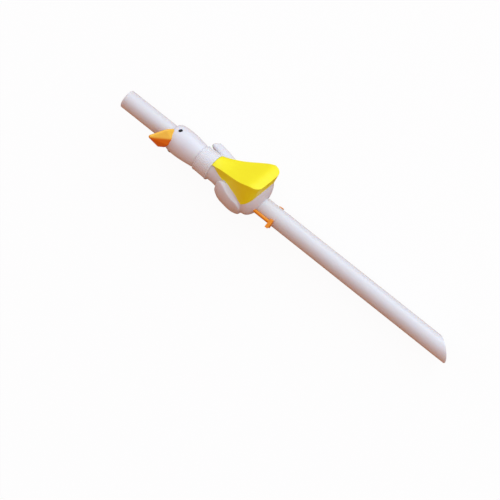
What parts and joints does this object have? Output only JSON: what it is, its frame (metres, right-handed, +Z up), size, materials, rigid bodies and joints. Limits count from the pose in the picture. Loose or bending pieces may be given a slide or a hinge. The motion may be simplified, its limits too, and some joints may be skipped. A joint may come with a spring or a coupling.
{
  "type": "plastic drinking straw with a duck figure",
  "caption": "Wide reusable plastic drinking straw with a slanted piercing end and a small white duck in a yellow cape threaded on it.",
  "frame": {"origin": "centre of the straw's mouth end, on the tube's axis", "axes": "+Z up from the table that the straw lies on; +X the level direction of the tube, from the slanted end to the mouth end; +Y to its left"},
  "size_m": [0.2302, 0.035, 0.0323],
  "materials": {
    "straw_plastic": "milky white polypropylene tube, satin, slightly translucent",
    "duck_white": "smooth white soft vinyl, satin",
    "collar_white": "white vinyl with fine moulded ribs",
    "cape_yellow": "bright yellow soft vinyl, satin",
    "orange": "orange soft vinyl, satin",
    "eye_black": "glossy black"
  },
  "bodies": {
    "straw": {"straw": "straw_plastic"},
    "duck": {"duck_body": "duck_white", "collar": "collar_white", "cape": "cape_yellow", "beak": "orange", "left_leg": "orange", "right_leg": "orange", "left_eye": "eye_black", "right_eye": "eye_black"}
  },
  "joints": [
    {"name": "duck_slide", "type": "slide", "parent": "straw", "child": "duck", "axis": [0.9992, 0, 0.0393], "range_m": [-0.11, 0.03]}
  ]
}
